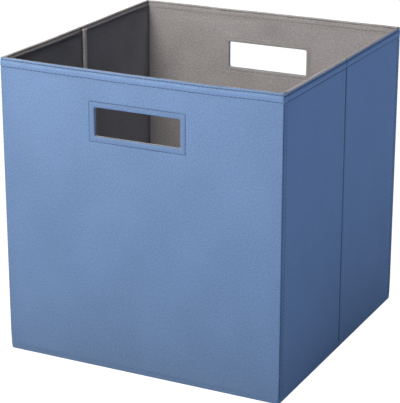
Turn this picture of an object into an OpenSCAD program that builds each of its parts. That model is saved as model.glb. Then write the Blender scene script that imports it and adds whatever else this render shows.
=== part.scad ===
// Collapsible fabric storage bin, an open cube with a hand hole in its front and back walls.
// Front is -Y, right is +X, up is +Z. The origin is on the floor, under the centre of the bin.
// Every wall is a stiff board between an outer fabric and a grey lining, closed by a turned hem.
// The side walls are two halves each. They fold inward at a mid crease, and the front wall
// moves back over them until the bin is flat. A loose base insert holds the bin square.

/* [Bin] */
// Outside width, from left to right
width = 330; // [330:1:400]
// Outside depth, from front to back
depth = 330; // [250:1:330]
// Outside height, from the floor to the rim
height = 335; // [200:1:400]

/* [Walls] */
// Thickness of the outer fabric and of the lining
fabric_t = 0.8; // [0.5:0.1:1]
// Thickness of the stiffening boards
board_t = 2.4; // [2:0.1:3]
// Height of the turned hem at the rim
hem_h = 10; // [8:1:14]
// Height of the soft foot below the boards
foot_h = 6.5; // [6.5:0.5:10]
// Radius of the outside vertical corners
corner_r = 1.2; // [0.5:0.1:1.5]

/* [Hand holes] */
// Width of each hand hole
hole_w = 101; // [80:1:120]
// Height of each hand hole
hole_h = 31.5; // [25:0.5:40]
// Distance from the rim down to the hand hole
hole_drop = 39.5; // [30:0.5:60]
// Corner radius of each hand hole
hole_r = 3; // [2:0.5:8]
// Width of the facing that is turned inside and sewn down around the hand hole
facing_w = 6; // [5:0.5:8]

/* [Fold] */
// Half of the slit that the board halves leave at the mid crease
crease_gap = 1; // [0.9:0.1:2]
// Width of the tape sewn over the crease, inside
tape_w = 9; // [6:0.5:12]

/* [Base insert] */
// Thickness of the fabric-covered insert
insert_t = 4; // [3:0.1:4.5]
// Space between the insert and the walls on each side
insert_gap = 1.6; // [1.4:0.1:4]

/* [Hidden] */

// A cut runs past the faces that it cuts by this much.
eps = 1;
round_fn = 48;

wall_t = 2 * fabric_t + board_t;
hem_z = height - hem_h;
board_top = height - fabric_t;
hole_z = height - hole_drop - hole_h / 2;

// Walls end at the corner seams, which are as thick as the walls.
end_half = width / 2 - wall_t;
side_half = depth / 2 - wall_t;

// A side half stops short of the corner seam and of the crease, so that it can turn.
turn_gap = 0.3;
side_far = side_half - turn_gap;
side_near = crease_gap;
board_inset = 1;

// The bottom panel lies on the floor, and the insert lies on it.
panel_t = 1;
lay_gap = 0.1;
insert_z = panel_t + lay_gap;
band_top = foot_h - turn_gap;
cover_t = 0.7;
insert_w = width - 2 * (wall_t + insert_gap);
insert_d = depth - 2 * (wall_t + insert_gap);

// Threads stand on the face that they sew. Rows stop short of corners and creases.
thread_w = 0.6;
thread_out = 0.2;
thread_end = 5;
rim_row = 2.3;
hem_row = 9.6;
corner_row = 8.5;
insert_row = 5;

// Parts of the facing and of the tape that stand on the lining
facing_t = 0.6;
tape_t = 0.8;

outer_blue = [0.47, 0.59, 0.74];
lining_grey = [0.55, 0.53, 0.53];
board_brown = [0.72, 0.62, 0.46];
thread_navy = [0.16, 0.24, 0.40];
tape_grey = [0.65, 0.64, 0.64];

// ---- Shapes. A wall is drawn with its outer face on the XZ plane and its inside toward +Y. ----

module slab(x, y, z) {
    translate([x[0], y[0], z[0]])
        cube([x[1] - x[0], y[1] - y[0], z[1] - z[0]]);
}

// A rectangle with round corners, centred on the origin
module rounded_rectangle(w, h, r) {
    square([w - 2 * r, h], center = true);
    square([w, h - 2 * r], center = true);
    for (sx = [-1, 1], sy = [-1, 1])
        translate([sx * (w / 2 - r), sy * (h / 2 - r)])
            circle(r, $fn = round_fn);
}

// The hand hole as a solid that runs from y0 to y1, wider all round by grow
module hand_hole(y0, y1, grow) {
    translate([0, y1, hole_z])
        rotate([90, 0, 0])
            linear_extrude(y1 - y0)
                rounded_rectangle(hole_w + 2 * grow, hole_h + 2 * grow, hole_r + grow);
}

module in_front_wall() {
    translate([0, -depth / 2, 0]) children();
}

module in_back_wall() {
    rotate([0, 0, 180]) in_front_wall() children();
}

// Along a side wall, +X of the drawing is toward the front on the left and the back on the right.
module in_left_wall() {
    translate([-width / 2, 0, 0]) rotate([0, 0, -90]) children();
}

module in_right_wall() {
    translate([width / 2, 0, 0]) rotate([0, 0, 90]) children();
}

// One half of a side wall is drawn on the +X side, and the other half is its mirror image.
module as_far_half() {
    mirror([1, 0, 0]) children();
}

// ---- Layers of a wall that runs along X over the span x ----

module fabric_layer(x) {
    color(outer_blue) slab(x, [0, fabric_t], [foot_h, hem_z]);
}

module board_layer(x) {
    color(board_brown) slab(x, [fabric_t, fabric_t + board_t], [foot_h, board_top]);
}

module lining_layer(x) {
    color(lining_grey) slab(x, [wall_t - fabric_t, wall_t], [foot_h, hem_z]);
}

// The hem is turned over the top edge of the board.
module hem_layer(x) {
    color(outer_blue)
        difference() {
            slab(x, [0, wall_t], [hem_z, height]);
            slab(
                [x[0] - eps, x[1] + eps],
                [fabric_t, fabric_t + board_t],
                [hem_z - eps, board_top]
            );
        }
}

// ---- Stitching ----

// A row of thread along X on the outer face
module outer_row(x, z) {
    slab(x, [-thread_out, 0], [z - thread_w / 2, z + thread_w / 2]);
}

// A row of thread along X on the inner face
module inner_row(x, z) {
    slab(x, [wall_t, wall_t + thread_out], [z - thread_w / 2, z + thread_w / 2]);
}

// The two rows that hold a hem, on both faces of the wall
module hem_rows(x) {
    for (drop = [rim_row, hem_row]) {
        outer_row(x, height - drop);
        inner_row(x, height - drop);
    }
}

// A closed rectangle of thread around the hand hole, on the outer face
module hole_thread() {
    w = hole_w + 2 * facing_w;
    h = hole_h + 2 * facing_w;
    translate([0, 0, hole_z])
        rotate([90, 0, 0])
            linear_extrude(thread_out)
                difference() {
                    square([w + thread_w, h + thread_w], center = true);
                    square([w - thread_w, h - thread_w], center = true);
                }
}

// ---- Front and back walls ----

module end_fabric() {
    color(outer_blue)
        difference() {
            fabric_layer([-end_half, end_half]);
            hand_hole(-eps, fabric_t + eps, fabric_t);
        }
}

module end_board() {
    color(board_brown)
        difference() {
            board_layer([-end_half, end_half]);
            hand_hole(0, wall_t, fabric_t);
        }
}

module end_lining() {
    color(lining_grey)
        difference() {
            lining_layer([-end_half, end_half]);
            hand_hole(wall_t - fabric_t - eps, wall_t + eps, fabric_t);
        }
}

// The facing lines the hand hole through the wall and ends in a flange on the lining.
module hole_facing() {
    color(tape_grey)
        difference() {
            union() {
                hand_hole(0, wall_t + facing_t, fabric_t);
                hand_hole(wall_t, wall_t + facing_t, facing_w);
            }
            hand_hole(-eps, wall_t + facing_t + eps, 0);
        }
}

module end_stitching() {
    x = [thread_end - end_half, end_half - thread_end];
    color(thread_navy) {
        hem_rows(x);
        hole_thread();
    }
}

// The seam of one corner, drawn at the corner on the -X side of an end wall
module corner_seam() {
    color(outer_blue)
        translate([-width / 2, 0, foot_h])
            linear_extrude(height - foot_h) {
                translate([corner_r, 0]) square([wall_t - corner_r, wall_t]);
                translate([0, corner_r]) square([wall_t, wall_t - corner_r]);
                translate([corner_r, corner_r]) circle(corner_r, $fn = round_fn);
            }
}

// ---- Side walls. Each half is drawn on the +X side of the crease. ----

module half_fabric() {
    fabric_layer([side_near, side_far]);
}

module half_board() {
    board_layer([side_near + board_inset, side_far - board_inset]);
}

module half_lining() {
    lining_layer([side_near, side_far]);
}

module half_hem() {
    hem_layer([side_near, side_far]);
}

// The hem rows, and one upright row beside the corner seam
module half_stitching() {
    x = depth / 2 - corner_row;
    color(thread_navy) {
        hem_rows([side_near + board_inset, side_far - thread_end]);
        slab([x - thread_w / 2, x + thread_w / 2], [-thread_out, 0], [foot_h, hem_z]);
    }
}

module crease_tape() {
    color(tape_grey)
        slab([side_near, side_near + tape_w], [wall_t, wall_t + tape_t], [foot_h, hem_z]);
}

// ---- Bottom ----

module bottom_panel() {
    color(lining_grey)
        slab(
            [wall_t - width / 2, width / 2 - wall_t],
            [wall_t - depth / 2, depth / 2 - wall_t],
            [0, panel_t]
        );
}

// Soft band of fabric around the foot, where the walls are sewn to the bottom panel
module bottom_seam_band() {
    color(outer_blue)
        linear_extrude(band_top)
            difference() {
                rounded_rectangle(width, depth, corner_r);
                square([width - 2 * wall_t, depth - 2 * wall_t], center = true);
            }
}

module insert_block(inset) {
    slab(
        [inset - insert_w / 2, insert_w / 2 - inset],
        [inset - insert_d / 2, insert_d / 2 - inset],
        [insert_z + inset, insert_z + insert_t - inset]
    );
}

module base_insert_board() {
    color(board_brown) insert_block(cover_t);
}

// The cover is sewn shut all round the board.
module base_insert_cover() {
    color(lining_grey)
        difference() {
            insert_block(0);
            insert_block(cover_t);
        }
}

module base_insert_stitching() {
    w = insert_w - 2 * insert_row;
    d = insert_d - 2 * insert_row;
    color(thread_navy)
        translate([0, 0, insert_z + insert_t])
            linear_extrude(thread_out)
                difference() {
                    square([w + thread_w, d + thread_w], center = true);
                    square([w - thread_w, d - thread_w], center = true);
                }
}

bottom_panel();
bottom_seam_band();

in_back_wall() end_fabric();  // back_outer_fabric
in_back_wall() end_board();  // back_board
in_back_wall() end_lining();  // back_lining
in_back_wall() hem_layer([-end_half, end_half]);  // back_hem
in_back_wall() hole_facing();  // back_hand_hole_facing
in_back_wall() end_stitching();  // back_stitching
in_back_wall() as_far_half() corner_seam();  // back_left_corner_seam
in_back_wall() corner_seam();  // back_right_corner_seam

in_left_wall() as_far_half() half_fabric();  // left_rear_outer_fabric
in_left_wall() as_far_half() half_board();  // left_rear_board
in_left_wall() as_far_half() half_lining();  // left_rear_lining
in_left_wall() as_far_half() half_hem();  // left_rear_hem
in_left_wall() as_far_half() half_stitching();  // left_rear_stitching
in_left_wall() as_far_half() crease_tape();  // left_crease_tape

in_left_wall() half_fabric();  // left_front_outer_fabric
in_left_wall() half_board();  // left_front_board
in_left_wall() half_lining();  // left_front_lining
in_left_wall() half_hem();  // left_front_hem
in_left_wall() half_stitching();  // left_front_stitching

in_front_wall() end_fabric();  // front_outer_fabric
in_front_wall() end_board();  // front_board
in_front_wall() end_lining();  // front_lining
in_front_wall() hem_layer([-end_half, end_half]);  // front_hem
in_front_wall() hole_facing();  // front_hand_hole_facing
in_front_wall() end_stitching();  // front_stitching
in_front_wall() corner_seam();  // front_left_corner_seam
in_front_wall() as_far_half() corner_seam();  // front_right_corner_seam

in_right_wall() half_fabric();  // right_rear_outer_fabric
in_right_wall() half_board();  // right_rear_board
in_right_wall() half_lining();  // right_rear_lining
in_right_wall() half_hem();  // right_rear_hem
in_right_wall() half_stitching();  // right_rear_stitching
in_right_wall() crease_tape();  // right_crease_tape

in_right_wall() as_far_half() half_fabric();  // right_front_outer_fabric
in_right_wall() as_far_half() half_board();  // right_front_board
in_right_wall() as_far_half() half_lining();  // right_front_lining
in_right_wall() as_far_half() half_hem();  // right_front_hem
in_right_wall() as_far_half() half_stitching();  // right_front_stitching

base_insert_board();
base_insert_cover();
base_insert_stitching();
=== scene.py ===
import math

import bpy
import numpy as np
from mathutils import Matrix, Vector


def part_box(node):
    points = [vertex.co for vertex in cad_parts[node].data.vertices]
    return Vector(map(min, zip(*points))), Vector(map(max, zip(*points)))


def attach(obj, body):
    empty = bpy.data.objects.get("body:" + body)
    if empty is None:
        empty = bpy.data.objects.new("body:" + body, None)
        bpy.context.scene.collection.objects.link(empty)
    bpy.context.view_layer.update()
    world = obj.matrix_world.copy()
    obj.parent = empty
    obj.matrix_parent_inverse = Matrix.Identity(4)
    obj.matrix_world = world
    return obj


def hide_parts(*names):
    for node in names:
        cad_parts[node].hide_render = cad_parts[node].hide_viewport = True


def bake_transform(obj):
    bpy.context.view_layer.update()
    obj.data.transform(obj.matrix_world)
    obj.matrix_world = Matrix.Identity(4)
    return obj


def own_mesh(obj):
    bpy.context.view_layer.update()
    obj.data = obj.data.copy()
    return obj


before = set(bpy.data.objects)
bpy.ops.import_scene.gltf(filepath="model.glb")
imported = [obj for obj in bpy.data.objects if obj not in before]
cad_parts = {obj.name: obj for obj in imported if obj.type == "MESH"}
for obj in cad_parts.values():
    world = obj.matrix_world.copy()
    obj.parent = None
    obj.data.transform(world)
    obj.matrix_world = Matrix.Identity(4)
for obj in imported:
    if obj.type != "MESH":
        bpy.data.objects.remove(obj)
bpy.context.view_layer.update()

# Lengths are in millimetres until a mesh is made.
MM = 0.001

# A wall is drawn on the front and turned k quarter turns. u runs along it, to the right as seen from
# outside, d is the depth inward from its outer face, z the height and t the distance below the rim.
FRONT, RIGHT, BACK, LEFT = range(4)


def cad_box(node):
    low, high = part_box(node)
    return np.array(low) / MM, np.array(high) / MM


# The bin's half width, and the walls' thickness and lower and upper edges.
SEAM_LOW, SEAM_HIGH = cad_box("front_right_corner_seam")
HALF = SEAM_HIGH[0]
WALL = SEAM_HIGH[0] - SEAM_LOW[0]
FOOT, RIM = SEAM_LOW[2], SEAM_HIGH[2]
END_HALF = cad_box("front_outer_fabric")[1][0]

# The hand hole's centre, half width and half height, and the width of the facing sewn around it.
FACING = 6.0
FACING_LOW, FACING_HIGH = cad_box("front_hand_hole_facing")
HOLE_Z = (FACING_LOW[2] + FACING_HIGH[2]) / 2
HOLE_W = (FACING_HIGH[0] - FACING_LOW[0]) / 2 - FACING
HOLE_H = (FACING_HIGH[2] - FACING_LOW[2]) / 2 - FACING
# Where the wall's cloth ends under the facing, and where the facing is sewn down inside.
HOLE_CUT = 4.9
FLANGE_ROW = 4.65

CLOTH = 0.7
# Length of a stitch with its gap, and spacing of the points along a wall.
PITCH = 5.1
STEP = PITCH / 4
# Depths below the rim of the two rows of stitches of the hem.
END_ROWS, SIDE_ROWS = (2.35, 9.7), (3.7, 10.3)
END_INNER_ROWS, SIDE_INNER_ROWS = (1.7, 7.9), (1.6, 7.2)
# Radius of the turn over the rim, and how far down the hem's rows of points reach.
ROLL = 1.7
HEM_START = 14.0
# Distance of a side wall's upright seam from the corner.
CORNER_ROW = 8.5
# The rim stands higher at the front corners, a rise that fades out this far below it.
CORNER_LIFT = 1.5
LIFT_FADE = 60
# A side wall bends this close to its middle. In the slit between its boards both cloths are thinner
# and the lining is pressed in, so that the side walls have room when folded.
SLIT = (0.55, 1.35)
SLIT_THIN = 0.37
SLIT_PRESS = 0.73

# Start of each random sequence, to which a wall's number is added.
SEEDS = {"lining": 30, "outer": 20, "rim": 40, "slant": 60, "groove": 70, "hem_painted_shading": 80,
         "end_outer": 200, "end_inner": 210, "side_outer": 220, "side_inner": 240, "corner": 260,
         "insert": 270, "panel": 90, "cover": 95}
RIPPLE_WAVES = 18


# ---- Shape functions ----

def smooth(x, low, high):
    """0 up to low, 1 from high on."""
    a = np.clip((x - low) / (high - low), 0, 1)
    return a * a * (3 - 2 * a)


def bump(x, centre, half):
    """1 at the centre, 0 from a distance half on."""
    return smooth(1 - np.abs(x - centre) / half, 0, 1)


def ripple(u, z, seed, longest, shortest):
    """Smooth random waves between about -1 and 1."""
    random = np.random.default_rng(seed)
    total = np.zeros(np.broadcast(u, z).shape)
    for _ in range(RIPPLE_WAVES):
        wave = 2 * math.pi / random.uniform(shortest, longest)
        turn = random.uniform(0, 2 * math.pi)
        start = random.uniform(0, 2 * math.pi)
        total += np.cos(wave * (u * math.cos(turn) + z * math.sin(turn)) + start)
    return total / math.sqrt(RIPPLE_WAVES)


def puckers(u):
    """Cloth stands up between a row's needle holes and is pinched at them."""
    return np.cos(2 * math.pi * u / PITCH)


def is_end(k):
    return k in (FRONT, BACK)


def rows_of(k, inner=False):
    if inner:
        return END_INNER_ROWS if is_end(k) else SIDE_INNER_ROWS
    return END_ROWS if is_end(k) else SIDE_ROWS


def below_rim(t):
    """0 on the rounded top of the rim, 1 on the face below it."""
    return smooth(t, 0.3, 1.4)


def hem_depth(t, rows, low_groove=0.34):
    """Depth of the hem's face: a puffed band between two sewn grooves."""
    rim_row, low_row = rows
    across = np.clip((t - rim_row) / (low_row - rim_row), 0, 1)
    puff = -0.42 * np.sin(math.pi * across) ** 0.6
    grooves = low_groove * bump(t, low_row, 0.8) + 0.38 * bump(t, rim_row, 0.8)
    return puff + grooves


def hem_rows(sewn, over):
    """(t, d) up the hem's face and over the rim to its "near" edge, its "middle" or its "far" edge."""
    face = set(spread(ROLL + 0.2, HEM_START, 1.0))
    for row in sewn:
        face |= {row + x for x in (-1.1, -0.75, -0.5, -0.25, 0, 0.25, 0.5, 0.75, 1.1)}
    rows = [(t, 0.0) for t in apart([t for t in face if t > ROLL + 0.05], 0.17)[::-1]]
    arc = [i / 6 * math.pi / 2 for i in range(1, 7)]
    roll = [(ROLL * (1 - math.sin(a)), ROLL * (1 - math.cos(a))) for a in arc]
    if over == "near":
        return np.array(rows + roll[:2])
    rows += roll + [(0.02, WALL / 2)]
    if over == "middle":
        return np.array(rows)
    rows += [(t, WALL - d) for t, d in roll[:0:-1]]
    return np.array(rows + [(0.75, WALL - 0.12)])


def hole_reach(u, z):
    """Distance outward from the edge of the hand hole's rectangle."""
    return np.maximum(np.abs(u) - HOLE_W, np.abs(z - HOLE_Z) - HOLE_H)


def around_hole(u, z):
    """The faces of a grid that stand clear of the hand hole."""
    reach = hole_reach((u[:, :-1] + u[:, 1:]) / 2, (z[:-1] + z[1:]) / 2)
    return reach > HOLE_CUT


def rim_lift(u, t, k):
    """The rim waves a little and is higher at the front corners."""
    uneven = 1 + ripple(u, 0 * u, SEEDS["rim"] + k, 160, 50)
    wave = 0.12 * smooth(HALF - np.abs(u), 4, 25) * uneven
    toward = {FRONT: np.abs(u), BACK: 0 * u, RIGHT: -u, LEFT: u}[k]
    corner = CORNER_LIFT * np.clip(toward / HALF, 0, 1) ** 2
    return (wave + corner) * (1 - smooth(t, 0, LIFT_FADE))


def outer_depth(u, t, k):
    """Depth of the outer cloth's face: seams, puckers and soft waves."""
    z = RIM - t
    from_corner = HALF - np.abs(u)
    inside = smooth(from_corner, 3, 20)
    flat = smooth(t, 11, 16)
    rim_row, low_row = rows_of(k)
    depth = hem_depth(t, rows_of(k))
    near_rows = bump(t, low_row, 2.2) + bump(t, rim_row + 0.6, 1.5)
    depth = depth - 0.10 * puckers(u) * near_rows
    wander = 1.6 * ripple(u, t, SEEDS["slant"] + k, 60, 25)
    slant = np.cos(2 * math.pi * (u + 0.9 * t) / 4.3 + wander)
    depth = depth - (0.06 if is_end(k) else 0.11) * slant * bump(t, (rim_row + low_row) / 2, 3.3)
    depth = depth - 0.16 * (1 + ripple(u, z, SEEDS["outer"] + k, 190, 60)) * inside * flat
    if is_end(k):
        reach = hole_reach(u, z)
        depth = depth + 0.45 * bump(reach, FACING, 0.95) + 0.45 * smooth(-reach, -5.6, -5.2)
        around = smooth(-reach, -14, -6.5)
        depth = depth - 0.10 * puckers(u + z) * around * smooth(reach, 6, 7)
    else:
        depth = depth + 0.15 * smooth(t, 0.6, 1.2) * (1 - smooth(t, 2.6, 3.7))
        valley = 0.35 * smooth(1 - np.abs(u) / 2.8, 0, 0.9) * smooth(t, 9.6, 11)
        notch = 0.25 * bump(u, 0, 2.4) * (1 - smooth(t, 9.6, 11))
        shoulder = -0.3 * bump(np.abs(u), 6.5, 3.6) * flat
        sewn = 0.22 * bump(from_corner, CORNER_ROW, 1.1) * smooth(t, 9.5, 11)
        ridge = -0.2 * smooth(from_corner, 0.6, 2.6) * (1 - smooth(from_corner, 3, 7.5))
        depth = depth + valley + notch + shoulder + sewn + ridge * smooth(t, 9, 12)
        depth = depth - 0.06 * puckers(z) * bump(from_corner, CORNER_ROW, 3) * flat
    return depth


def inner_depth(u, t, k):
    """Depth of the lining's face, measured outward from the wall's inner face."""
    z = RIM - t
    from_corner = HALF - WALL - np.abs(u)
    inside = smooth(from_corner, 2, 15)
    flat = smooth(t, 10.5, 16)
    rim_row, low_row = rows_of(k, inner=True)
    if is_end(k):
        depth = hem_depth(t, (rim_row, low_row), 0.18) * (0.25 + 0.75 * inside)
    else:
        depth = 0.5 * bump(t, rim_row, 0.7) - 1.1 * bump(t, 4.4, 2.5) + 0.3 * bump(t, low_row, 0.7)
        depth = depth * (0.3 + 0.7 * inside)
    near_rows = bump(t, low_row, 2.4) + bump(t, rim_row + 0.6, 1.6)
    depth = depth - 0.13 * puckers(u) * near_rows * inside
    depth = depth - 0.2 * (1 + ripple(u, z, SEEDS["lining"] + k, 120, 35)) * inside * flat
    if is_end(k):
        reach = hole_reach(u, z)
        depth = depth + 0.5 * smooth(-reach, -5.9, -5.3)
        depth = depth - 0.12 * puckers(u + z) * bump(reach, 7.5, 1.5)
        depth = depth - 0.25 * bump(np.abs(u), HOLE_W + 4, 1.4) * smooth(z, HOLE_Z, HOLE_Z + 25)
    else:
        depth = depth * (1 - 0.8 * bump(u, 3, 9))
    return depth


def corner_radius(z):
    """The upright corners are tight, and widen towards the floor."""
    return 1.3 + 0.9 * (1 - smooth(z, FOOT, 26)) + 1.4 * (1 - smooth(z, 0, FOOT))


def on_wall(k, u, d, z):
    """Points of wall k as an array whose last axis is x, y, z."""
    u, d, z = np.broadcast_arrays(u, d, z)
    x, y = u, d - HALF
    for _ in range(k):
        x, y = -y, x
    return np.stack([x, y, z], -1)


# ---- Meshes ----

SHARP_ANGLE = 55


def apart(values, gap):
    """Sorted values without near doubles."""
    kept = []
    for v in sorted(values):
        if not kept or v - kept[-1] > gap:
            kept.append(v)
    return np.array(kept)


def spread(low, high, step):
    """Even values, about a step apart."""
    return np.linspace(low, high, max(2, int(round((high - low) / step)) + 1))


def normals_of(grid, wrap):
    if wrap:
        along = np.roll(grid, -1, 1) - np.roll(grid, 1, 1)
    else:
        along = np.gradient(grid, axis=1)
    across = np.gradient(grid, axis=0)
    n = np.cross(along, across)
    return n / np.maximum(np.linalg.norm(n, axis=-1, keepdims=True), 1e-9)


def add_object(name, data):
    obj = bpy.data.objects.new(name, data)
    bpy.context.scene.collection.objects.link(obj)
    return obj


def make_object(name, points, faces, uv, painted_shading, material):
    """A piece with its UVs in metres of cloth and the painted light and shadow at each point."""
    mesh = bpy.data.meshes.new(name)
    mesh.from_pydata((points * MM).tolist(), [], faces)
    loops = np.zeros(len(mesh.loops), np.int32)
    mesh.loops.foreach_get("vertex_index", loops)
    layer = mesh.uv_layers.new(name="cloth")
    layer.data.foreach_set("uv", (uv * MM)[loops].astype(np.float32).ravel())
    # The painted light and shadow of each point, kept as an attribute.
    if painted_shading is not None:
        attribute = mesh.attributes.new("painted_shading", "FLOAT", "POINT")
        attribute.data.foreach_set("value", painted_shading.astype(np.float32))
    mesh.polygons.foreach_set("use_smooth", [True] * len(mesh.polygons))
    mesh.set_sharp_from_angle(angle=math.radians(SHARP_ANGLE))
    mesh.materials.append(material)
    mesh.validate()
    return add_object(name, mesh)


def shell(name, grid, uv, painted_shading, material, thickness=CLOTH, keep=None, wrap=False):
    """A closed cloth: the grid and its other face behind it. keep chooses the grid's faces, and
    wrap joins its last column to its first."""
    rows, columns = grid.shape[:2]
    inner = grid - normals_of(grid, wrap) * thickness
    index = np.arange(rows * columns).reshape(rows, columns)
    right = np.roll(index, -1, 1) if wrap else index[:, 1:]
    left = index if wrap else index[:, :-1]
    quads = np.stack([left[:-1], right[:-1], right[1:], left[1:]], -1)
    quads = quads.reshape(-1, 4) if keep is None else quads[keep]
    total = rows * columns
    start, end = quads.ravel(), np.roll(quads, -1, 1).ravel()
    open_edge = ~np.isin(start * total + end, end * total + start)
    s, e = start[open_edge], end[open_edge]
    back = quads[:, ::-1] + total
    rim = np.stack([e, s, s + total, e + total], -1)
    faces = np.concatenate([quads, back, rim])
    used, compact = np.unique(faces, return_inverse=True)
    faces = compact.reshape(faces.shape)
    points = np.concatenate([grid.reshape(-1, 3), inner.reshape(-1, 3)])[used]
    uv = np.concatenate([uv.reshape(-1, 2), uv.reshape(-1, 2)])[used]
    painted_shading = np.concatenate([painted_shading.ravel(), painted_shading.ravel()])[used]
    return make_object(name, points, faces.tolist(), uv, painted_shading, material)


def distances(line):
    """Distance along a line of points from its first, or up each column of a grid."""
    steps = np.linalg.norm(np.diff(line, axis=0), axis=-1)
    return np.concatenate([0 * line[:1, ..., 0], np.cumsum(steps, 0)])


def cloth_uv(grid, u):
    """UVs of the cloth laid flat: u along it and the distance up it."""
    return np.stack([np.broadcast_to(u, grid.shape[:2]), distances(grid)], -1)


# ---- Materials ----

# The part of a noise texture's range that remap stretches.
NOISE_RANGE = (0.3, 0.7)
# How much of a point's painted light and shadow a cloth takes, and the relief of weave and thread in
# metres.
PAINTED_SHADING_SHARE = 0.5
WEAVE_RELIEF = 0.00006
PLY_RELIEF = 0.00004
PLY_LENGTH = 0.0007


def linear(r, g, b):
    """The linear colour of three sRGB values from 0 to 255."""
    values = [c / 255 for c in (r, g, b)]
    return [c / 12.92 if c <= 0.04045 else ((c + 0.055) / 1.055) ** 2.4 for c in values]


def ramp(tree, value, source, result):
    """Maps value from the range source to the range result."""
    node = tree.nodes.new("ShaderNodeMapRange")
    node.inputs["From Min"].default_value, node.inputs["From Max"].default_value = source
    node.inputs["To Min"].default_value, node.inputs["To Max"].default_value = result
    tree.links.new(value, node.inputs["Value"])
    return node.outputs["Result"]


class Nodes:
    """Short calls for building one material's node tree."""

    def __init__(self, name):
        self.material = bpy.data.materials.new(name)
        self.material.use_nodes = True
        self.tree = self.material.node_tree
        self.shader = self.tree.nodes["Principled BSDF"]

    def link(self, value, socket):
        if isinstance(value, (int, float)):
            socket.default_value = value
        elif isinstance(value, (list, tuple)):
            socket.default_value = [*value, 1.0][: len(socket.default_value)]
        else:
            self.tree.links.new(value, socket)

    def set(self, name, value):
        self.link(value, self.shader.inputs[name])

    def node(self, kind, *values):
        node = self.tree.nodes.new("ShaderNode" + kind)
        for value, socket in zip(values, node.inputs):
            self.link(value, socket)
        return node

    def math(self, kind, a, b=0.0, clamp=False):
        node = self.node("Math", a, b)
        node.operation = kind
        node.use_clamp = clamp
        return node.outputs[0]

    def noise(self, vector, scale, detail, roughness=0.5, distortion=0.0):
        node = self.node("TexNoise", vector, 0.0, scale, detail, roughness)
        self.link(distortion, node.inputs["Distortion"])
        return node.outputs["Fac"]

    def mix(self, share, a, b, kind="MIX"):
        node = self.node("Mix")
        node.data_type = "RGBA"
        node.blend_type = kind
        self.link(share, node.inputs["Factor"])
        self.link(a, node.inputs["A"])
        self.link(b, node.inputs["B"])
        return node.outputs["Result"]

    def coordinates(self, kind):
        return self.node("TexCoord").outputs[kind]

    def attribute(self, name):
        node = self.node("Attribute")
        node.attribute_name = name
        return node.outputs["Fac"]

    def remap(self, value, low, high):
        return ramp(self.tree, value, NOISE_RANGE, (low, high))

    def grey(self, value):
        return self.node("CombineColor", value, value, value).outputs[0]

    def bump(self, height, distance):
        node = self.node("Bump")
        node.inputs["Strength"].default_value = 1.0
        node.inputs["Distance"].default_value = distance
        self.link(height, node.inputs["Height"])
        self.set("Normal", node.outputs[0])


def woven(name, dark, light, yarn, grain, mottle, nubs=0.05):
    """Plain woven cloth. yarn is the spacing in metres. grain, mottle and nubs are how much its
    fibres, patches and lumps vary in brightness."""
    n = Nodes(name)
    uv = n.coordinates("UV")
    x, y, _ = n.node("SeparateXYZ", uv).outputs
    across = n.math("SINE", n.math("MULTIPLY", x, 2 * math.pi / yarn))
    along = n.math("SINE", n.math("MULTIPLY", y, 2 * math.pi / yarn))
    weave = n.math("MULTIPLY", across, along)
    stretched = n.node("CombineXYZ", n.math("MULTIPLY", x, 0.15), y).outputs[0]
    slub = n.noise(stretched, 2600, 2.0)
    fibre = n.noise(uv, 900, 3.0, 0.6)
    nub = n.noise(uv, 430, 2.0, 0.6)
    patch = n.noise(uv, 22, 3.0, 0.55)
    cloud = n.noise(uv, 5, 2.0)
    tone = n.math("ADD", n.math("MULTIPLY", weave, 0.25), 0.5)
    tone = n.math("ADD", tone, n.remap(fibre, -0.35, 0.35))
    tone = n.math("ADD", tone, n.remap(slub, -0.15, 0.15), clamp=True)
    cloth = n.mix(tone, dark, light)
    level = n.remap(fibre, 1 - grain, 1 + grain)
    for noise, vary in ((patch, mottle), (cloud, mottle / 2), (nub, nubs)):
        level = n.math("ADD", level, n.remap(noise, -vary, vary))
    # Painted light and shadow: each point's painted shading lightens or darkens the cloth's colour.
    level = n.math("ADD", level, n.math("MULTIPLY", n.attribute("painted_shading"), PAINTED_SHADING_SHARE))
    n.set("Base Color", n.mix(1.0, cloth, n.grey(level), "MULTIPLY"))
    n.set("Roughness", n.remap(fibre, 0.78, 0.95))
    height = n.math("ADD", n.math("MULTIPLY", weave, 0.5), n.math("MULTIPLY", fibre, 0.9))
    n.bump(height, WEAVE_RELIEF)
    n.set("Specular IOR Level", 0.22)
    n.set("Sheen Weight", 0.15)
    n.set("Sheen Roughness", 0.45)
    return n.material


def thread_material(name, colour):
    """Twisted thread: its plies show as slanted bumps and as slanted bands of painted shading."""
    n = Nodes(name)
    uv = n.coordinates("UV")
    x, y, _ = n.node("SeparateXYZ", uv).outputs
    slant = n.math("ADD", x, n.math("MULTIPLY", y, 0.6))
    ply = n.math("SINE", n.math("MULTIPLY", slant, 2 * math.pi / PLY_LENGTH))
    # Painted shading of the twist, varied by random tone.
    painted_shading = n.math("ADD", n.math("MULTIPLY", ply, 0.12), 1.0)
    painted_shading = n.math("MULTIPLY", painted_shading, n.remap(n.noise(uv, 300, 2.0), 0.85, 1.15))
    n.set("Base Color", n.mix(1.0, colour, n.grey(painted_shading), "MULTIPLY"))
    n.set("Roughness", n.remap(n.noise(uv, 700, 1.0), 0.5, 0.65))
    n.bump(ply, PLY_RELIEF)
    n.set("Sheen Weight", 0.2)
    return n.material


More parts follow.
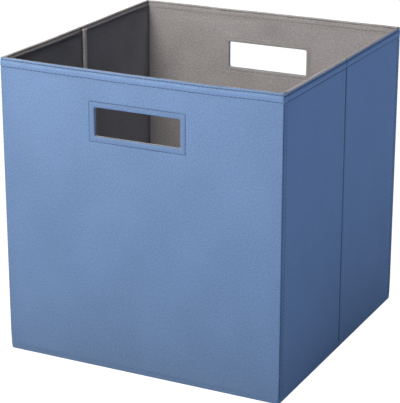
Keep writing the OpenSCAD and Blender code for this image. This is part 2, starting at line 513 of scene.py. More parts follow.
def pressed_board(name):
    """Grey-brown pressed board: specks, long fibres and an uneven face."""
    n = Nodes(name)
    place = n.coordinates("Object")
    speck = n.noise(place, 900, 4.0, 0.7)
    fibre = n.noise(place, 180, 3.0, 0.6, 1.5)
    cloud = n.noise(place, 14, 2.0)
    base = n.mix(n.remap(fibre, 0, 1), linear(148, 124, 94), linear(182, 158, 124))
    base = n.mix(n.remap(speck, 0, 0.5), base, linear(112, 96, 76))
    base = n.mix(n.remap(cloud, 0, 0.25), base, linear(196, 176, 146))
    n.set("Base Color", base)
    n.set("Roughness", n.remap(speck, 0.75, 0.95))
    n.bump(n.math("ADD", speck, fibre), 0.0001)
    n.set("Specular IOR Level", 0.25)
    return n.material


BLUE = woven("blue_cloth", linear(91, 118, 156), linear(109, 136, 174),
             yarn=0.0009, grain=0.10, mottle=0.03, nubs=0.08)
GREY = woven("grey_lining", linear(144, 147, 158), linear(165, 168, 180),
             yarn=0.0009, grain=0.13, mottle=0.06, nubs=0.16)
# The crease tape is a lighter cloth, and its near-white colour is also painted light for the light that
# its rounded face catches.
TAPE = woven("crease_tape_cloth", linear(232, 231, 236), linear(244, 243, 248),
             yarn=0.0012, grain=0.08, mottle=0.04, nubs=0.1)
UNDER = woven("bottom_cloth", linear(70, 72, 78), linear(92, 94, 100),
              yarn=0.0011, grain=0.12, mottle=0.08)
THREAD_BLUE = thread_material("blue_thread", linear(50, 72, 110))
THREAD_GREY = thread_material("grey_thread", linear(146, 143, 145))
BOARD = pressed_board("pressed_board")


# ---- Wall cloths ----

# Distances from the hand hole's edge and from the crease of the points added there.
HOLE_FINE = (4.6, 5.2, 5.5, 5.8, 6.1, 6.4, 6.8)
CREASE_FINE = (0.35, 0.7, 1.1, 1.6, 2.2, 3, 3.8, 4.6)


def face_levels(near_hole):
    """Heights of the rows of points below the hem."""
    levels = list(spread(FOOT, RIM - HEM_START - 3, 6.0))
    if near_hole:
        for side in (-1, 1):
            for reach in (-8, 3.0, *HOLE_FINE, 7.4, 8.5, 10, 12):
                levels.append(HOLE_Z + side * (HOLE_H + reach))
    return apart(levels, 0.25)


def rows_up(levels, hem):
    """t and d of rows at these heights and then up the hem, one row each."""
    t = np.concatenate([RIM - levels, hem[:, 0]])[:, None]
    return t, np.concatenate([0 * levels, hem[:, 1]])[:, None]


def columns_for(low, high, near_hole):
    """Places of the columns of points, closer at a hole or a crease."""
    base = list(spread(low, high, STEP))
    if near_hole:
        extra = [side * (HOLE_W + r) for side in (-1, 1) for r in HOLE_FINE]
    else:
        extra = [0] + [side * r for side in (-1, 1) for r in CREASE_FINE]
    base = [b for b in base if all(abs(b - e) > 0.3 for e in extra) or b in (low, high)]
    return np.array(sorted(base + extra))


def painted_seam_shading(depth, scale, lightest=0.12):
    """Painted shadow in sewn grooves and painted highlight on what stands proud."""
    return np.clip(-depth * scale, -0.8, lightest)


def crease_slit(u):
    """1 in the slit between the board halves of a side wall, 0 on the halves."""
    return 1 - smooth(np.abs(u), *SLIT)


def outer_cloth(name, k, low, high):
    """The cloth of wall k."""
    near_hole = is_end(k)
    u = columns_for(low, high, near_hole)[None, :]
    hem = hem_rows(rows_of(k), "middle" if near_hole else "near")
    t, base = rows_up(face_levels(near_hole), hem)
    on_face = below_rim(t)
    depth = outer_depth(u, t, k)
    grid = on_wall(k, u + 0 * t, base + depth * on_face, RIM - t + rim_lift(u, t, k))
    rim_row, low_row = rows_of(k)
    if near_hole:
        # Painted light and shadow: darker in the grooves and at the hand hole's row of stitches,
        # lighter on the rim's top and the hem's band, unevenly along the hem.
        uneven = 1 + 0.5 * ripple(u, 0 * u, SEEDS["hem_painted_shading"] + k, 30, 6)
        painted_shading = painted_seam_shading(depth, 0.5) * on_face + 0.3 * (1 - smooth(t, 0.2, 1.6))
        painted_shading = painted_shading - 0.3 * bump(hole_reach(u, RIM - t), FACING + 0.1, 0.8)
        painted_shading = painted_shading + (0.28 * bump(t, 4.4, 1.8) - 0.12 * bump(t, rim_row, 0.8)) * uneven
        keep, thickness = around_hole(u, RIM - t), CLOTH
    else:
        # Painted light and shadow: lighter on the rim's top, darker in the hem's grooves and on the
        # band below the rim.
        painted_shading = painted_seam_shading(depth, 1.0, 0.02) * on_face + 0.35 * (1 - smooth(t, 0.8, 2.2))
        painted_shading = painted_shading - 0.2 * bump(t, 4.0, 1.9) - 0.34 * bump(t, low_row, 1.1)
        # Painted shadow: the crease is darkened as if it were a deep fold.
        crease = 1 - smooth(np.abs(u), 0.6, 2.3)
        painted_shading = painted_shading - (0.8 + 0.5 * smooth(t, 9.6, 11)) * crease
        keep, thickness = None, (CLOTH - SLIT_THIN * crease_slit(u))[..., None]
    return shell(name, grid, cloth_uv(grid, u), painted_shading, BLUE, thickness, keep=keep)


def lining_cloth(name, k, half):
    """The grey cloth of wall k. A side wall's reaches over the rim and under the corner strips."""
    near_hole = is_end(k)
    u = columns_for(-half, half, near_hole)[None, :]
    rim_row, low_row = rows_of(k, inner=True)
    hem = hem_rows((rim_row, low_row), "middle" if near_hole else "far")
    t, base = [rows[::-1] for rows in rows_up(face_levels(near_hole), hem)]
    inner_side, outer_side = base < WALL / 2, base > WALL / 2 + 0.1
    on_face = below_rim(t) * inner_side
    mitre = (HALF - WALL + np.minimum(base, WALL - 0.5)) / (HALF - WALL)
    depth = inner_depth(u, t, k)
    slit = 0 * u if near_hole else crease_slit(u)
    d = (WALL - base - depth * on_face) * (1 - SLIT_PRESS * slit)
    strip_edge = HALF - CORNER_ROW
    under_strip = outer_side * smooth(np.abs(u), strip_edge - 1.2, strip_edge)
    lift = rim_lift(u * mitre, t, k) - 0.35 * under_strip
    grid = on_wall(k, u * mitre, d, RIM - t + lift)
    # Painted light and shadow: darker into the inner corners and in the rim's groove, lighter on the
    # rim's top and its far edge.
    corner = -0.8 * (1 - smooth(half - np.abs(u), 0, 2.4))
    uneven = 1 + 0.35 * ripple(u, 0 * u, SEEDS["groove"] + k, 30, 6)
    groove = -1.25 * bump(t, rim_row + 0.1, 1.0) * uneven * inner_side
    painted_shading = (painted_seam_shading(depth, 0.5) + corner) * on_face + groove + 0.5 * (1 - smooth(t, 0.5, 1.2))
    painted_shading = painted_shading + 0.6 * outer_side * smooth(half - np.abs(u), 6, 20)
    if not near_hole:
        # On a side wall the hem's band is painted lighter, as if lit from above, and its lower groove
        # and the slit painted darker.
        painted_shading = painted_shading + 1.1 * bump(t, 4.5, 2.3) * on_face - 0.35 * bump(t, low_row, 0.8) - slit
    keep = around_hole(u, RIM - t) if near_hole else None
    thickness = (CLOTH - SLIT_THIN * slit)[..., None]
    return shell(name, grid, cloth_uv(grid, u), painted_shading, GREY, thickness, keep=keep)


# ---- Corner strips, each the end of an end wall and the start of a side wall ----

# Columns of points on the end wall, arc and side wall, and the seam's share of the arc.
STRIP_COLUMNS = (4, 10, 8)
SEAM_SHARE = 0.8
# Each strip is cut from another place of the cloth.
UV_START, UV_PER_WALL, UV_MIRRORED = 165, 400, 37


def corner_grid(t, base, side_end):
    """Points of the front right corner up to side_end along the right wall, their depths, and
    their distances from the corner along that wall."""
    z, on_face = RIM - t, below_rim(t)
    radius = np.maximum(corner_radius(z) - base, 0.5)
    centre = HALF - base - radius
    on_end, on_arc, on_side = STRIP_COLUMNS
    share = np.linspace(0, 1, on_end)[None, :]
    x1 = END_HALF * (1 - share) + centre * share
    y1 = (base - HALF) + 0 * x1
    d1 = outer_depth(x1, t, FRONT)
    theta = (np.arange(1, on_arc) / on_arc)[None, :]
    a = (theta - 1) * math.pi / 2
    turned = smooth(theta, 0, 1)
    d_front = outer_depth(centre + radius * np.sin(theta * math.pi / 2), t, FRONT)
    d_right = outer_depth(centre + radius * np.cos(theta * math.pi / 2), t, RIGHT)
    groove = 0.35 * bump(theta, SEAM_SHARE, 0.3) * smooth(t, 2.6, 4)
    d2 = d_front * (1 - turned) + d_right * turned + groove
    x2 = centre + (radius - d2 * on_face) * np.cos(a)
    y2 = -centre + (radius - d2 * on_face) * np.sin(a)
    share = np.linspace(0, 1, on_side)[None, :]
    u3 = centre * (1 - share) + (HALF - side_end) * share
    d3 = outer_depth(u3, t, RIGHT)
    x3 = (HALF - base) - d3 * on_face + 0 * u3
    x = np.concatenate([x1 + 0 * t, x2, x3], 1)
    y = np.concatenate([y1 + d1 * on_face, y2, -u3], 1)
    depth = np.concatenate([d1, d2, d3], 1)
    along = np.concatenate([0 * x1, 0 * x2, HALF - np.abs(u3) + 0 * t], 1)
    return np.stack([x, y, np.broadcast_to(z, x.shape)], -1), depth, along


def to_corner(grid, k, mirror):
    """Turns the front right corner's points to wall k, mirrored for a left-hand corner."""
    grid = grid.copy()
    if mirror:
        grid[..., 0] *= -1
        grid = grid[:, ::-1]
    for _ in range(k):
        grid = np.stack([-grid[..., 1], grid[..., 0], grid[..., 2]], -1)
    return grid


def corner_strip(name, k, mirror, side_end):
    """The cloth of one corner, with painted shadow along its seam and grooves and painted light on the
    rim's top.
    """
    levels = [[FOOT, 8, 10, 13, 17, 22], spread(27, RIM - HEM_START - 3, STEP * 2)]
    t, base = rows_up(np.concatenate(levels), hem_rows(END_ROWS + SIDE_ROWS, "middle"))
    grid, depth, along = corner_grid(t, base, side_end)
    # Painted light and shadow: darker in the grooves, lighter on the rim's top.
    painted_shading = painted_seam_shading(depth, 0.6) * below_rim(t) + 0.3 * (1 - smooth(t, 0.2, 1.6))
    seam = STRIP_COLUMNS[0] + STRIP_COLUMNS[1] * SEAM_SHARE - 1
    column = np.arange(grid.shape[1])[None, :]
    # Painted shadow: pressed darkens the seam and the strip beside it as if they lay in shade.
    beside = smooth(along, 0.4, 1.4) * (1 - 0.7 * smooth(along, 3.5, CORNER_ROW))
    pressed = 0.5 * bump(column, seam, 3.0) + 0.45 * beside
    painted_shading = painted_shading - pressed * smooth(t, 10.5, 12)
    if k == FRONT:
        grid[..., 2] += CORNER_LIFT * (1 - smooth(t, 0, LIFT_FADE))
    grid = to_corner(grid, k, mirror)
    if mirror:
        painted_shading = painted_shading[:, ::-1]
    run = distances(grid[0])[None, :] + UV_START + UV_PER_WALL * k + UV_MIRRORED * mirror
    return shell(name, grid, cloth_uv(grid, run), painted_shading, BLUE)


# ---- Hand holes ----

# Sections of the facing as (reach outward from the opening, depth).
BAND_SECTION = [(6.25, 0.75), (6.1, 0.5), (5.95, 0.28), (5.7, 0.02), (5.2, -0.2), (4.4, -0.34),
                (3.4, -0.4), (2.4, -0.42), (1.6, -0.42), (0.95, -0.36), (0.45, -0.18),
                (0.15, 0.15), (0.0, 0.6), (-0.05, 1.3), (0.0, 2.0)]
FLANGE_SECTION = [(0.0, 2.0), (0.0, 2.9), (0.05, 3.6), (0.25, 4.1), (0.7, 4.42), (1.4, 4.52),
                  (2.4, 4.5), (3.4, 4.42), (4.1, 4.3), (4.5, 4.12), (4.8, 4.1), (5.1, 4.3),
                  (5.5, 4.5), (5.85, 4.5), (6.05, 4.35), (6.15, 3.95), (6.15, 3.6)]
FACING_THICKNESS = 0.5
# Points along the hole's long side, short side and corner. The corner's radius inside, and its loss
# outside.
LOOP_POINTS = (80, 22, 8)
HOLE_RADIUS, RADIUS_LOSS = 2.2, 1.3
FACING_UV = (100, 500)


def hole_loop(reach):
    """Once around the hand hole: u, and height above its centre."""
    w, h = HOLE_W + reach, HOLE_H + reach
    r = HOLE_RADIUS - RADIUS_LOSS * min(max(reach, 0) / FACING, 1)
    wide, tall, turn = [np.linspace(low, 1, count)[:-1] for low, count in zip((-1, -1, 0), LOOP_POINTS)]
    wide, tall, turn = wide * (w - r), tall * (h - r), turn * math.pi / 2
    us, zs = [], []
    for quarter, (u, z) in enumerate([(wide, -h), (w, tall), (-wide, h), (-w, -tall)]):
        u, z = np.broadcast_arrays(u, z)
        angle = (quarter - 1) * math.pi / 2 + turn
        across = (w - r) * (1 if quarter in (0, 1) else -1)
        up = (h - r) * (1 if quarter in (1, 2) else -1)
        us += [u, across + r * np.cos(angle)]
        zs += [z, up + r * np.sin(angle)]
    return np.concatenate(us), np.concatenate(zs)


def hole_ring(k, section):
    """Points and UVs of a section swept around the hand hole of wall k."""
    loops, runs = [], []
    for reach, d in section:
        u, z = hole_loop(reach)
        run = distances(np.stack([u, z], -1))
        proud = 0.05 * puckers(run) * smooth(reach, 1.5, 4) * (1 - smooth(reach, 5.6, 6))
        side = -1 if d < WALL / 2 else 1
        loops.append(on_wall(k, u, d + side * proud, HOLE_Z + z))
        runs.append(run)
    grid = np.array(loops)
    return grid, np.stack([np.array(runs) + FACING_UV[0] * k, FACING_UV[1] + distances(grid)], -1)


def facing(name, k):
    """The cloth around the hand hole: a blue band outside and a grey flange inside."""
    pieces = []
    for tail, section, material in (("outer_band", BAND_SECTION, BLUE),
                                    ("inner_flange", FLANGE_SECTION, GREY)):
        grid, uv = hole_ring(k, section)
        reach, d = np.array(section).T[:, :, None]
        if material is BLUE:
            # Painted light and shadow on the blue band: darker at its sewn edge, lighter on the lip,
            # and painted lighter inside the back hole where it lies in shadow.
            painted_shading = -0.35 * bump(reach, 6.05, 0.6) + 0.10 * bump(reach, 0.6, 0.7)
            painted_shading = painted_shading + 0.5 * (k == BACK) * (d > 0)
        else:
            # Painted light and shadow on the grey flange: a highlight line by its sewn row, a dark line
            # at its edge, and a lighter reveal.
            painted_shading = 0.55 * bump(reach, 5.4, 0.8) - 0.12 * bump(reach, 6.2, 0.25)
            painted_shading = painted_shading + 0.4 * (1 - smooth(reach, 0, 0.5))
        painted_shading = np.broadcast_to(painted_shading, grid.shape[:2])
        pieces.append(shell(f"{name}_{tail}", grid, uv, painted_shading, material, FACING_THICKNESS, wrap=True))
    return pieces


# ---- Stitches ----

# The thread's half width and half height, a stitch's half length as a share of its pitch, and the
# ranges of its length and direction.
THREAD_WIDTH, THREAD_HEIGHT = 0.34, 0.26
STITCH_SHARE = 0.37
LENGTH_RANGE = (0.93, 1.05)
TILT_RANGE = (-0.03, 0.03)
# How deep the rows lie in the hem.
ROW_DEPTH = 0.14


def stitch_template():
    """An oval cord that dips into the cloth at both ends: each point's place along, across and out
    of it, as shares, and its lift in millimetres."""
    shares = (-1, -0.86, -0.5, 0, 0.5, 0.86, 1.0)
    sides = 6
    angle = np.arange(sides) / sides * 2 * math.pi
    rings = []
    for f in shares:
        size = 1.0 if abs(f) < 0.9 else 0.55
        lift = 0.12 * (1 - f * f) - 0.42 * f ** 6
        ring = (np.full(sides, f), size * np.cos(angle), size * np.sin(angle), np.full(sides, lift))
        rings.append(np.stack(ring, -1))
    faces = []
    for i in range(len(shares) - 1):
        for j in range(sides):
            a, b = i * sides + j, i * sides + (j + 1) % sides
            faces.append([a, a + sides, b + sides, b])
    faces.append(list(range(sides)))
    faces.append([(len(shares) - 1) * sides + j for j in reversed(range(sides))])
    return np.concatenate(rings), faces


STITCH, STITCH_FACES = stitch_template()


class Rows:
    """Stitches gathered for one piece."""

    def __init__(self, seed):
        self.places, self.random = [], np.random.default_rng(seed)

    def line(self, start, end, out):
        """A straight row on a face that looks along out."""
        start, end, out = (np.array(v, float) for v in (start, end, out))
        along = end - start
        length = np.linalg.norm(along)
        count = max(1, int(round(length / PITCH)))
        along = along / length
        for i in range(count):
            centre = start + along * (i + 0.5) * length / count
            self.places.append((centre, along, out, length / count))

    def closed(self, ring, out):
        for start, end in zip(ring, ring[1:] + ring[:1]):
            self.line(start, end, out)

    def build(self, name, material):
        points, faces, uv = [], [], []
        f, across, up, lift = STITCH.T
        for centre, along, out, pitch in self.places:
            half = pitch * STITCH_SHARE * self.random.uniform(*LENGTH_RANGE)
            side = np.cross(out, along)
            direction = along + side * self.random.uniform(*TILT_RANGE)
            base = len(points) * len(STITCH)
            points.append(centre
                          + np.outer(f * half, direction)
                          + np.outer(across * THREAD_WIDTH, side)
                          + np.outer(up * THREAD_HEIGHT + lift, out))
            faces += [[base + v for v in face] for face in STITCH_FACES]
            uv.append(np.stack([f * half, np.arctan2(up, across) * THREAD_WIDTH], -1))
        return make_object(name, np.concatenate(points), faces, np.concatenate(uv), None, material)


def at(k, u, d, z):
    """One point of wall k."""
    return on_wall(k, float(u), float(d), float(z))


def out_of(k, sign=1):
    """The direction out of wall k, or with -1 into the bin."""
    return at(k, 0, -sign, 0) - at(k, 0, 0, 0)


def rim_rows(rows, k, low, high, inner=False):
    """The two rows along the hem, from low to high along the wall."""
    depth, out = (WALL - ROW_DEPTH, out_of(k, -1)) if inner else (ROW_DEPTH, out_of(k))
    for t in rows_of(k, inner):
        count = int(round(abs(high - low) / PITCH))
        step = (high - low) / count
        for i in range(count):
            u = np.array(low + step * (i + 0.5))
            z = [RIM - t + float(rim_lift(u + s * step / 2, t, k)) for s in (-1, 0, 1)]
            along = at(k, u + step / 2, depth, z[2]) - at(k, u - step / 2, depth, z[0])
            length = np.linalg.norm(along)
            rows.places.append((at(k, u, depth, z[1]), along / length, out, length))


def hole_rows(rows, k, reach, d, out):
    """A row around the hand hole."""
    w, h = HOLE_W + reach, HOLE_H + reach
    ring = [at(k, u, d, HOLE_Z + z) for u, z in ((-w, -h), (w, -h), (w, h), (-w, h))]
    rows.closed(ring, out)


# ---- Walls ----

WALL_NAMES = {FRONT: "front", RIGHT: "right", BACK: "back", LEFT: "left"}
END_BODY = {FRONT: "front_wall", BACK: "back_and_bottom"}
# A lining stops just short of the corners. A side lining leaves more room to turn.
SIDE_LINING_HALF = HALF - WALL - 0.5
END_LINING_HALF = HALF - WALL - 0.1
# The crease tape's edges beside the crease, the points across it, and its thickness.
TAPE_EDGES = (1.0, 10.0)
TAPE_STEP = 0.75
TAPE_THICKNESS = 0.75


def dress(piece, slot, *nodes, body=None):
    """Hides the CAD nodes that a piece replaces and joins it to the body it rides on. slot is not used.
    """
    if body:
        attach(piece, body)
    if nodes:
        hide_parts(*nodes)


def end_stitches(k):
    """Rows at the hem and the hand hole, and inside also up the lining's edges."""
    wall = WALL_NAMES[k]
    outer = Rows(SEEDS["end_outer"] + k)
    rim_rows(outer, k, -END_HALF + 1, END_HALF - 1)
    hole_rows(outer, k, FACING, 0.22, out_of(k))
    stitches = outer.build(f"{wall}_outer_stitches", THREAD_BLUE)
    inner = Rows(SEEDS["end_inner"] + k)
    rim_rows(inner, k, -END_HALF + 3, END_HALF - 3, inner=True)
    hole_rows(inner, k, FLANGE_ROW, WALL + 0.05, out_of(k, -1))
    for side in (-1, 1):
        u = side * (END_LINING_HALF - 1.0)
        low, high = at(k, u, WALL - 0.1, 12), at(k, u, WALL - 0.1, RIM - 12)
        inner.line(low, high, out_of(k, -1))
    return stitches, inner.build(f"{wall}_inner_stitches", THREAD_GREY)


def end_wall(k, body):
    """A wall with a hand hole."""
    wall = WALL_NAMES[k]
    cloth = outer_cloth(f"{wall}_outer_cloth", k, -END_HALF, END_HALF)
    dress(cloth, "outer_fabric", f"{wall}_outer_fabric", f"{wall}_hem", body=body)
    lining = lining_cloth(f"{wall}_lining_cloth", k, END_LINING_HALF)
    dress(lining, "lining", f"{wall}_lining", body=body)
    band, flange = facing(f"{wall}_hand_hole", k)
    dress(band, "outer_fabric", body=body)
    dress(flange, "lining", f"{wall}_hand_hole_facing", body=body)
    stitches, inner_stitches = end_stitches(k)
    dress(stitches, "thread", f"{wall}_stitching", body=body)
    dress(inner_stitches, "thread", body=body)


def crease_tape(name, k, toward_rear):
    """A rounded strip beside the crease that climbs over the hem's band."""
    low, high = sorted(toward_rear * edge for edge in TAPE_EDGES)
    u = spread(low, high, TAPE_STEP)[None, ::-1]
    z = spread(FOOT + 2, RIM - 3.4, PITCH / 2)[:, None]
    across = (u - low) / (high - low)
    arch = np.sin(math.pi * across)
    edge = bump(across, 0, 0.12) + bump(across, 1, 0.12)
    swell = 0.5 + 1.5 * arch ** 0.7 - 0.2 * edge + 0.05 * puckers(z) * arch
    grid = on_wall(k, u, WALL + swell + 0.5 * smooth(z, RIM - 7, RIM - 5), z)
    # Painted shadow: the tape's edges are darker, as the gap beside them would be in shade.
    return shell(name, grid, cloth_uv(grid, u), -0.5 * edge + 0 * z, TAPE, TAPE_THICKNESS)


def half_wall_stitches(k, half, sign):
    """Rows at the hem of half a side wall, and outside also at the corner strip."""
    outer = Rows(SEEDS["side_outer"] + 3 * k + sign)
    rim_rows(outer, k, sign * 3.0, sign * (HALF - CORNER_ROW - 0.2))
    u = sign * (HALF - CORNER_ROW)
    outer.line(at(k, u, 0.2, FOOT + 3), at(k, u, 0.2, RIM - 11), out_of(k))
    stitches = outer.build(f"{WALL_NAMES[k]}_{half}_outer_stitches", THREAD_BLUE)
    inner = Rows(SEEDS["side_inner"] + 3 * k + sign)
    rim_rows(inner, k, sign * 7.5, sign * (SIDE_LINING_HALF - 3), inner=True)
    return stitches, inner.build(f"{WALL_NAMES[k]}_{half}_inner_stitches", THREAD_GREY)


def side_wall(k):
    """A side wall with a crease at its middle. Its tape is sewn to the rear half only."""
    wall = WALL_NAMES[k]
    rear, front = f"{wall}_rear_half", f"{wall}_front_half"
    halves = [f"{wall}_rear", f"{wall}_front"]
    toward_rear = 1 if k == RIGHT else -1
    x = at(k, 0, 0, 0)[0] * MM
    high = HALF - CORNER_ROW
    low = -high if k == RIGHT else -(HALF - WALL)
    cloth = outer_cloth(f"{wall}_outer_cloth", k, low, high)
    lining = lining_cloth(f"{wall}_lining_cloth", k, SIDE_LINING_HALF)
    for piece in (cloth, lining):
        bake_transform(piece)
    nodes = [f"{h}_{part}" for part in ("outer_fabric", "hem") for h in halves]
    dress(cloth, "outer_fabric", *nodes)
    dress(lining, "lining", *[f"{h}_lining" for h in halves])
    tape = crease_tape(f"{wall}_crease_tape_cloth", k, toward_rear)
    dress(tape, "tape", f"{wall}_crease_tape", body=rear)
    outer_parts, inner_parts = [], []
    for half, sign, body in (("rear", toward_rear, rear), ("front", -toward_rear, front)):
        stitches, inner_stitches = half_wall_stitches(k, half, sign)
        dress(stitches, "thread", f"{wall}_{half}_stitching", body=body)
        dress(inner_stitches, "thread", body=body)
        outer_parts.append(stitches)
        inner_parts.append(inner_stitches)


# ---- Corners ----

# Each corner's end wall, whether it is mirrored, the bodies that meet there, and signs of x and y.
# The linkage is open at the back left corner, so that strip stops at the hinge.
CORNERS = {
    "front_right": (FRONT, False, "front_wall", "right_front_half", (1, -1)),
    "front_left": (FRONT, True, "front_wall", "left_front_half", (-1, -1)),
    "back_right": (BACK, True, "back_and_bottom", "right_rear_half", (1, 1)),
    "back_left": (BACK, False, "back_and_bottom", None, (-1, 1)),
}


def corner_stitches(name, k, mirror, signs, on_side):
    """The row up the corner's seam, and the hem's rows on the strip."""
    sx, sy = signs
    rows = Rows(SEEDS["corner"] + k + 5 * mirror)
    turn = SEAM_SHARE * math.pi / 2
    across = np.array([sx * math.sin(turn), sy * math.cos(turn), 0])
    for z in np.arange(FOOT + 6, RIM - 3.2, PITCH):
        r = corner_radius(z)
        centre = np.array([sx * (HALF - r), sy * (HALF - r), z]) + across * (r - 0.25)
        rows.places.append((centre, np.array([0, 0, 1.0]), across, PITCH))
    top = RIM + (CORNER_LIFT if k == FRONT else 0)
    face = HALF - ROW_DEPTH
    x, y = np.array([1.0, 0, 0]), np.array([0, 1.0, 0])
    for end_row, side_row in zip(END_ROWS, SIDE_ROWS):
        centre = np.array([sx * (HALF - 3.0), sy * face, top - end_row])
        rows.places.append((centre, x, sy * y, 3.6))
        if on_side:
            centre = np.array([sx * face, sy * (HALF - 5.2), top - side_row])
            rows.places.append((centre, y, sx * x, PITCH))
    return rows.build(f"{name}_corner_stitches", THREAD_BLUE)


def corner(name, k, mirror, end_body, side_body, signs):
    """A corner strip. Where no side half meets it, it rides on its end wall."""
    side_end = CORNER_ROW if side_body else WALL
    strip = corner_strip(f"{name}_corner_cloth", k, mirror, side_end)
    dress(strip, "outer_fabric", f"{name}_corner_seam")
    stitches = corner_stitches(name, k, mirror, signs, bool(side_body))
    dress(stitches, "thread")
    for piece in (strip, stitches):
        if side_body:
            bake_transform(piece)
        else:
            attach(piece, end_body)


# ---- Soft bottom ----

# The seam band's section: depth inward from the outer face, and height.
BAND_ROWS = [(9.0, 0.35), (6.0, 0.1), (3.5, 0.03), (1.6, 0.0), (0.9, 0.02), (0.5, 0.12), (0.22, 0.3),
             (0.08, 0.55), (0.02, 0.9), (0.0, 1.5), (0.0, 2.8), (0.0, 4.0), (0.0, 5.2),
             (0.0, FOOT - 0.05)]
BAND_THICKNESS = 0.7
PANEL_HALF = cad_box("bottom_panel")[1][0] - 3.0
PANEL_FACE = 0.85
PANEL_THICKNESS = 0.6


def loop_at(base, z):
    """Once around the bin at depth base and height z."""
    radius = np.maximum(corner_radius(z) - base, 0.5)
    straight = HALF - base - radius
    side = np.linspace(-1, 1, 61)[None, :-1] * straight
    a = (np.arange(8) / 8 * math.pi / 2)[None, :]
    arc = straight + radius * np.sin(a), HALF - straight - radius * np.cos(a)
    loops = [on_wall(k, u, d, z) for k in range(4) for u, d in ((side, base), arc)]
    return np.concatenate(loops, 1)


def bottom_band():
    base, level = np.array(BAND_ROWS).T[:, :, None]
    grid = loop_at(base, level)
    # Painted shadow: the band is darker just above the floor.
    painted_shading = np.broadcast_to(-0.12 * bump(level, 0.4, 1.2), grid.shape[:2])
    uv = cloth_uv(grid, distances(grid[-1])[None, :])
    return shell("bottom_band_cloth", grid, uv, painted_shading, BLUE, BAND_THICKNESS, wrap=True)


def bottom_panel():
    u = spread(-PANEL_HALF, PANEL_HALF, 6)[None, :]
    v = spread(-PANEL_HALF, PANEL_HALF, 6)[:, None]
    face = PANEL_FACE + 0.12 * ripple(u, v, SEEDS["panel"], 120, 40)
    grid = np.stack(np.broadcast_arrays(u, v, face), -1)
    uv = np.stack(np.broadcast_arrays(u, v), -1)
    return shell("bottom_panel_cloth", grid, uv, 0 * grid[..., 0], UNDER, PANEL_THICKNESS)


def soft_bottom():
    """The band and the panel, each with a mesh of its own, on the back wall's body."""
    band, panel = bottom_band(), bottom_panel()
    dress(band, "outer_fabric", "bottom_seam_band")
    dress(panel, "bottom_cloth", "bottom_panel")
    for piece in (band, panel):
        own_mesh(piece)
        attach(piece, "back_and_bottom")


# ---- Base insert ----

INSERT_LOW, INSERT_HIGH = cad_box("base_insert_cover")
INSERT_HALF = INSERT_HIGH[0]
# Distances from the insert's edge of its row of stitches, and of the lines of points.
INSERT_ROW = 5.0
INSERT_LEVELS = [0, 0.15, 0.45, 0.9, 1.5, 2.4, 3.4, 4.2, 4.6, 5.0, 5.4, 5.8, 6.6, 8, 10]


def insert_cover():
    """The cover's top: round at the edge and sewn down beside it."""
    reach = np.concatenate([INSERT_LEVELS, spread(14, INSERT_HALF, 8)])
    line = np.unique(np.concatenate([-(INSERT_HALF - reach), INSERT_HALF - reach]))
    u, v = line[None, :], line[:, None]
    edge = np.minimum(INSERT_HALF - np.abs(u), INSERT_HALF - np.abs(v))
    fall = 1 - np.clip(edge / 1.5, 0, 1)
    rounding = 0.9 * (1 - np.sqrt(np.clip(1 - fall ** 2, 0, 1)))
    sewn = 0.35 * bump(edge, INSERT_ROW, 0.9)
    crown = 0.12 * smooth(edge, 6, 40)
    uneven = 0.08 * ripple(u, v, SEEDS["cover"], 90, 30)
    top = INSERT_HIGH[2] - rounding - sewn - 0.05 + crown + uneven
    grid = np.stack([u + 0 * v, v + 0 * u, top], -1)
    uv = np.stack(np.broadcast_arrays(u, v), -1)
    thickness = INSERT_HIGH[2] - INSERT_LOW[2] - 1.0
    # The sewn groove gets painted shadow.
    return shell("base_insert_padded_cover", grid, uv, painted_seam_shading(sewn, 1.0), GREY, thickness)


def base_insert():
    """A loose covered board with a row of stitches near its edge."""
    cover = insert_cover()
    dress(cover, "lining", "base_insert_cover", body="base_insert")
    rows = Rows(SEEDS["insert"])
    e = INSERT_HALF - INSERT_ROW
    z = INSERT_HIGH[2] - 0.3
    rows.closed([(-e, -e, z), (e, -e, z), (e, e, z), (-e, e, z)], (0, 0, 1))
    stitches = rows.build("base_insert_stitches", THREAD_GREY)
    dress(stitches, "thread", "base_insert_stitching", body="base_insert")


# ---- Floor, camera and light ----

FLOOR_HALF = 14.0
# Brightness of the floor as seen. The light that it sends up grows between two distances from the
# bin's middle.
FLOOR_SEEN = 1.05
GLOW_REACH = (0.17, 0.60)
GLOW_STRENGTH = (0.48, 1.10)
GLOW_COLOUR = (0.80, 0.98, 1.27, 1)
CAMERA_AT = Vector((0.7938, -1.6070, 0.7679))
CAMERA_LOOK = Vector((-0.4226, 0.8454, -0.3266))
CAMERA_LENS = 148.4
# Light from all around, least from in front of the bin and most from behind it.
SKY = (0.03, 0.25)


def stage_plane(name, z):
    """A shining plane, its material's nodes and its coordinates."""
    mesh = bpy.data.meshes.new(name)
    h = FLOOR_HALF
    mesh.from_pydata([(-h, -h, 0), (h, -h, 0), (h, h, 0), (-h, h, 0)], [], [(0, 1, 2, 3)])
    plane = add_object(name, mesh)
    plane.location.z = z
    n = Nodes(name)
    point = n.coordinates("Object")
    speckle = n.remap(n.noise(point, 40, 2.0), 0, 1)
    n.set("Base Color", n.mix(speckle, (0.08, 0.08, 0.08), (0.10, 0.10, 0.10)))
    n.set("Roughness", 0.9)
    n.set("Specular IOR Level", 0.1)
    n.set("Emission Color", (1, 1, 1, 1))
    mesh.materials.append(n.material)
    return plane, n, point


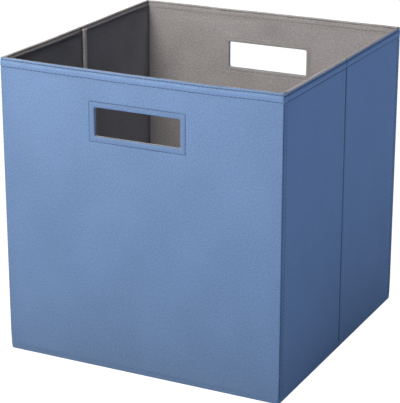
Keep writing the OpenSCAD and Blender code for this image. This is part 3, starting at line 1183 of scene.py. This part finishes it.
def floor():
    """The pale floor that is seen, and below it the light that one sends up, weaker near the bin."""
    seen, n, _ = stage_plane("pale_floor", -0.0002)
    n.set("Emission Strength", FLOOR_SEEN)
    seen.visible_diffuse = seen.visible_glossy = seen.visible_shadow = False
    glow, n, point = stage_plane("floor_glow", -0.0004)
    glow.visible_camera = False
    distance = n.node("VectorMath", point)
    distance.operation = "LENGTH"
    n.set("Emission Color", GLOW_COLOUR)
    strength = ramp(n.tree, distance.outputs["Value"], GLOW_REACH, GLOW_STRENGTH)
    n.set("Emission Strength", strength)


def aim(obj, position, direction):
    """Puts a camera or light at a position, looking in a direction."""
    obj.location = position
    obj.rotation_mode = "QUATERNION"
    obj.rotation_quaternion = direction.to_track_quat("-Z", "Y")


def camera():
    data = bpy.data.cameras.new("camera")
    data.sensor_width = 36
    data.lens = CAMERA_LENS
    data.clip_end = 100
    bpy.context.scene.camera = add_object("camera", data)
    aim(bpy.context.scene.camera, CAMERA_AT, CAMERA_LOOK)


def area_light(name, position, target, size, power, colour):
    data = bpy.data.lights.new(name, "AREA")
    data.shape = "SQUARE"
    data.size = size
    data.energy = power
    data.color = colour
    aim(add_object(name, data), position, Vector(target) - Vector(position))


def sky():
    world = bpy.data.worlds.new("soft_studio")
    bpy.context.scene.world = world
    world.use_nodes = True
    tree = world.node_tree
    direction = tree.nodes.new("ShaderNodeTexCoord").outputs["Generated"]
    parts = tree.nodes.new("ShaderNodeSeparateXYZ")
    tree.links.new(direction, parts.inputs[0])
    strength = ramp(tree, parts.outputs[1], (0.0, 1.0), SKY)
    tree.links.new(strength, tree.nodes["Background"].inputs["Strength"])


# ---- Build ----

for k, body in END_BODY.items():
    end_wall(k, body)
for k in (RIGHT, LEFT):
    side_wall(k)
for name, meeting in CORNERS.items():
    corner(name, *meeting)
soft_bottom()
base_insert()
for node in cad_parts.values():
    if node.name.endswith("_board"):
        node.data.materials.clear()
        node.data.materials.append(BOARD)

floor()
camera()
area_light("key", (-0.27, -0.80, 0.98), (0, -0.1, 0.2), 0.5, 13.4, (1.07, 0.94, 0.77))
area_light("side", (-1.2, -0.9, 0.9), (0, -0.1, 0.2), 0.6, 4.5, (1.0, 0.94, 0.84))
area_light("top", (0.08, 0.0, 2.2), (0, 0, 0.33), 0.6, 3.8, (1.0, 0.98, 0.96))
sky()
bpy.context.scene.view_settings.view_transform = "Standard"
bpy.context.scene.view_settings.look = "None"
